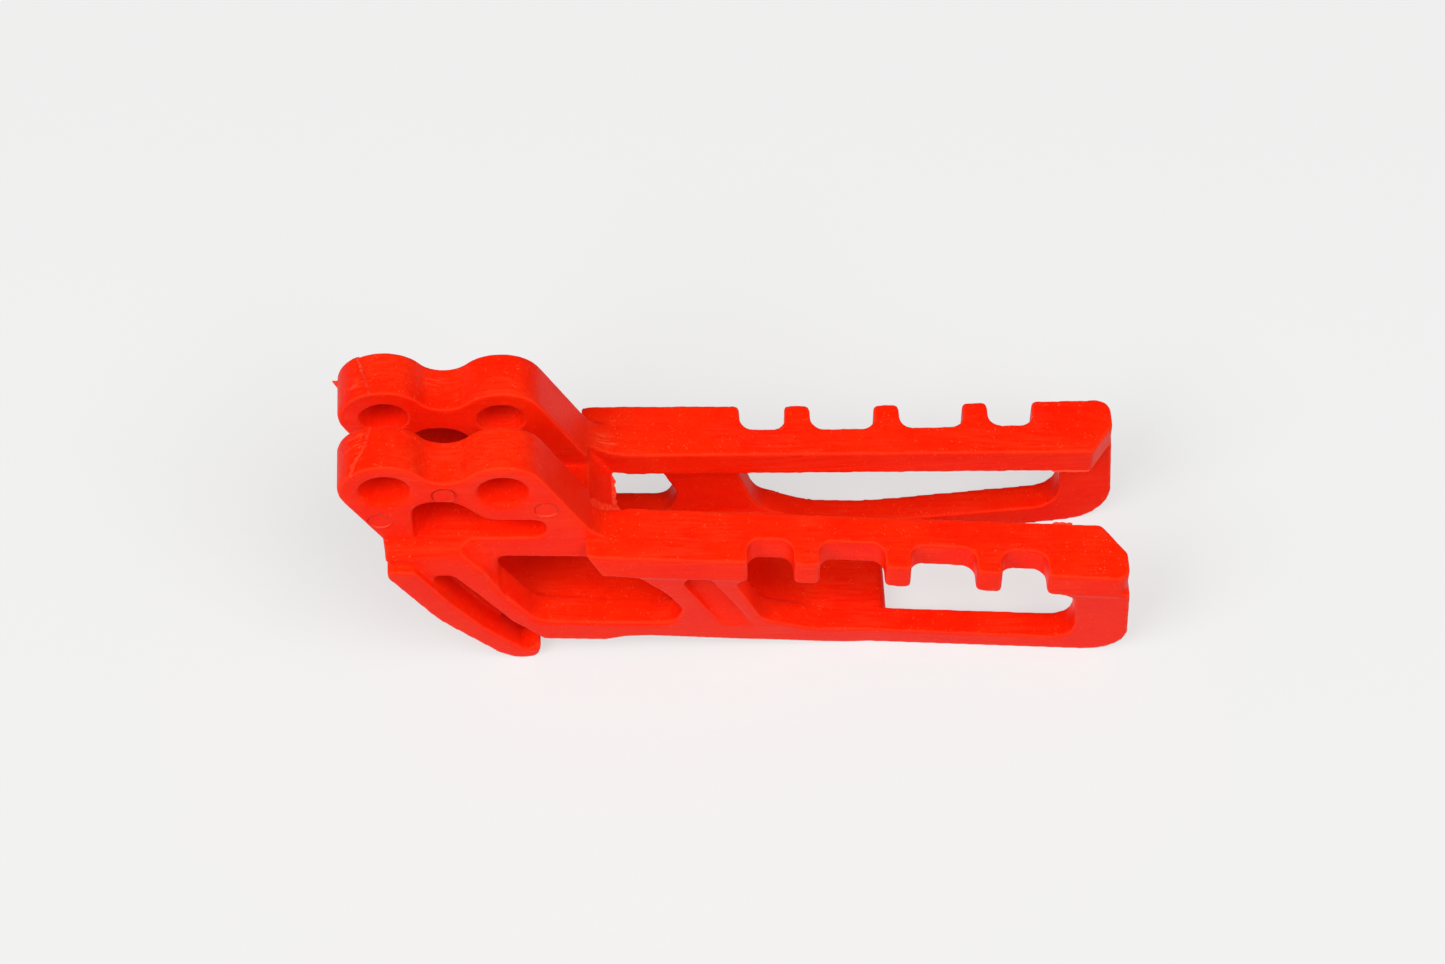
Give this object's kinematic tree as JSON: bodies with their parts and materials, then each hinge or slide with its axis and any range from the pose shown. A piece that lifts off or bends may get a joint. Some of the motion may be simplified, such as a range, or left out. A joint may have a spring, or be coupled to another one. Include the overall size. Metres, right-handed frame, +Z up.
{
  "type": "motorcycle chain guide",
  "caption": "One-piece moulded chain guide with a two-eared bolt bracket, a chain tunnel, windowed side walls and notched top rails.",
  "frame": {"origin": "axis of the front bolt bore, on the mid-plane between the ears", "axes": "+X along the guide from the bolt bracket to the tail, +Y across it along the bolt bores, +Z up from the feet to the bosses"},
  "size_m": [0.1649, 0.0458, 0.0737],
  "materials": {
    "guide_plastic": "satin moulded"
  },
  "bodies": {
    "root": {"guide_body": "guide_plastic"}
  },
  "joints": []
}
